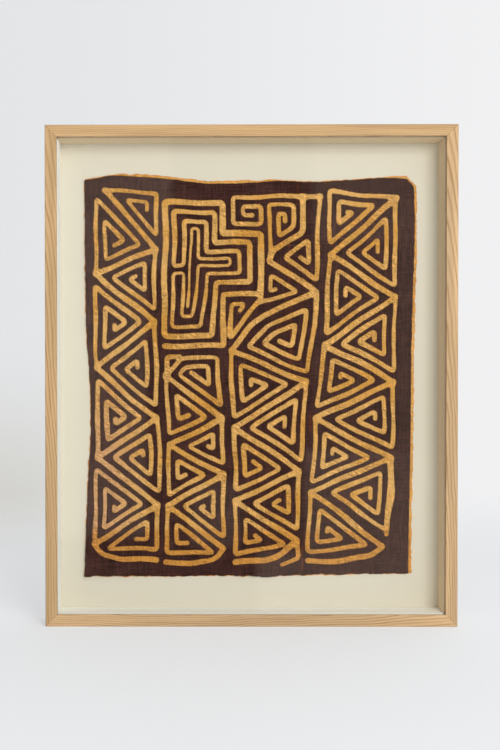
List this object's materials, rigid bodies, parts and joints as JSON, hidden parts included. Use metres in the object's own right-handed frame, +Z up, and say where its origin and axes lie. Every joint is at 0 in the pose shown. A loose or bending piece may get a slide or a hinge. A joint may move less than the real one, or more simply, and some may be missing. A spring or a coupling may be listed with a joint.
{
  "type": "mola textile panel in an oak box frame",
  "caption": "Sewn two-layer cotton mola panel with angular coils, mounted on cream board behind glass in a deep light oak box frame that stands on its lower rail.",
  "frame": {"origin": "middle of the footprint, on the underside of the lower rail", "axes": "+Z up the frame, -Y out of the picture side, +X to the right as seen from the picture side"},
  "size_m": [0.526, 0.04, 0.64],
  "materials": {
    "oak": "light oak, planed and waxed, open grain",
    "glass": "clear picture glass",
    "cream_board": "uncoated cream rag board, wood pulp",
    "hardboard": "smooth brown hardboard",
    "ochre_cotton": "plain-weave ochre cotton",
    "dark_cotton": "plain-weave dark aubergine cotton, slots cut and hemmed"
  },
  "bodies": {
    "root": {"rail_top": "oak", "rail_bottom": "oak", "rail_left": "oak", "rail_right": "oak", "glass_pane": "glass", "spacer_top": "cream_board", "spacer_bottom": "cream_board", "spacer_left": "cream_board", "spacer_right": "cream_board", "mount_board": "cream_board", "backing_board": "hardboard", "mola_ground": "ochre_cotton", "mola_top": "dark_cotton"}
  },
  "joints": []
}
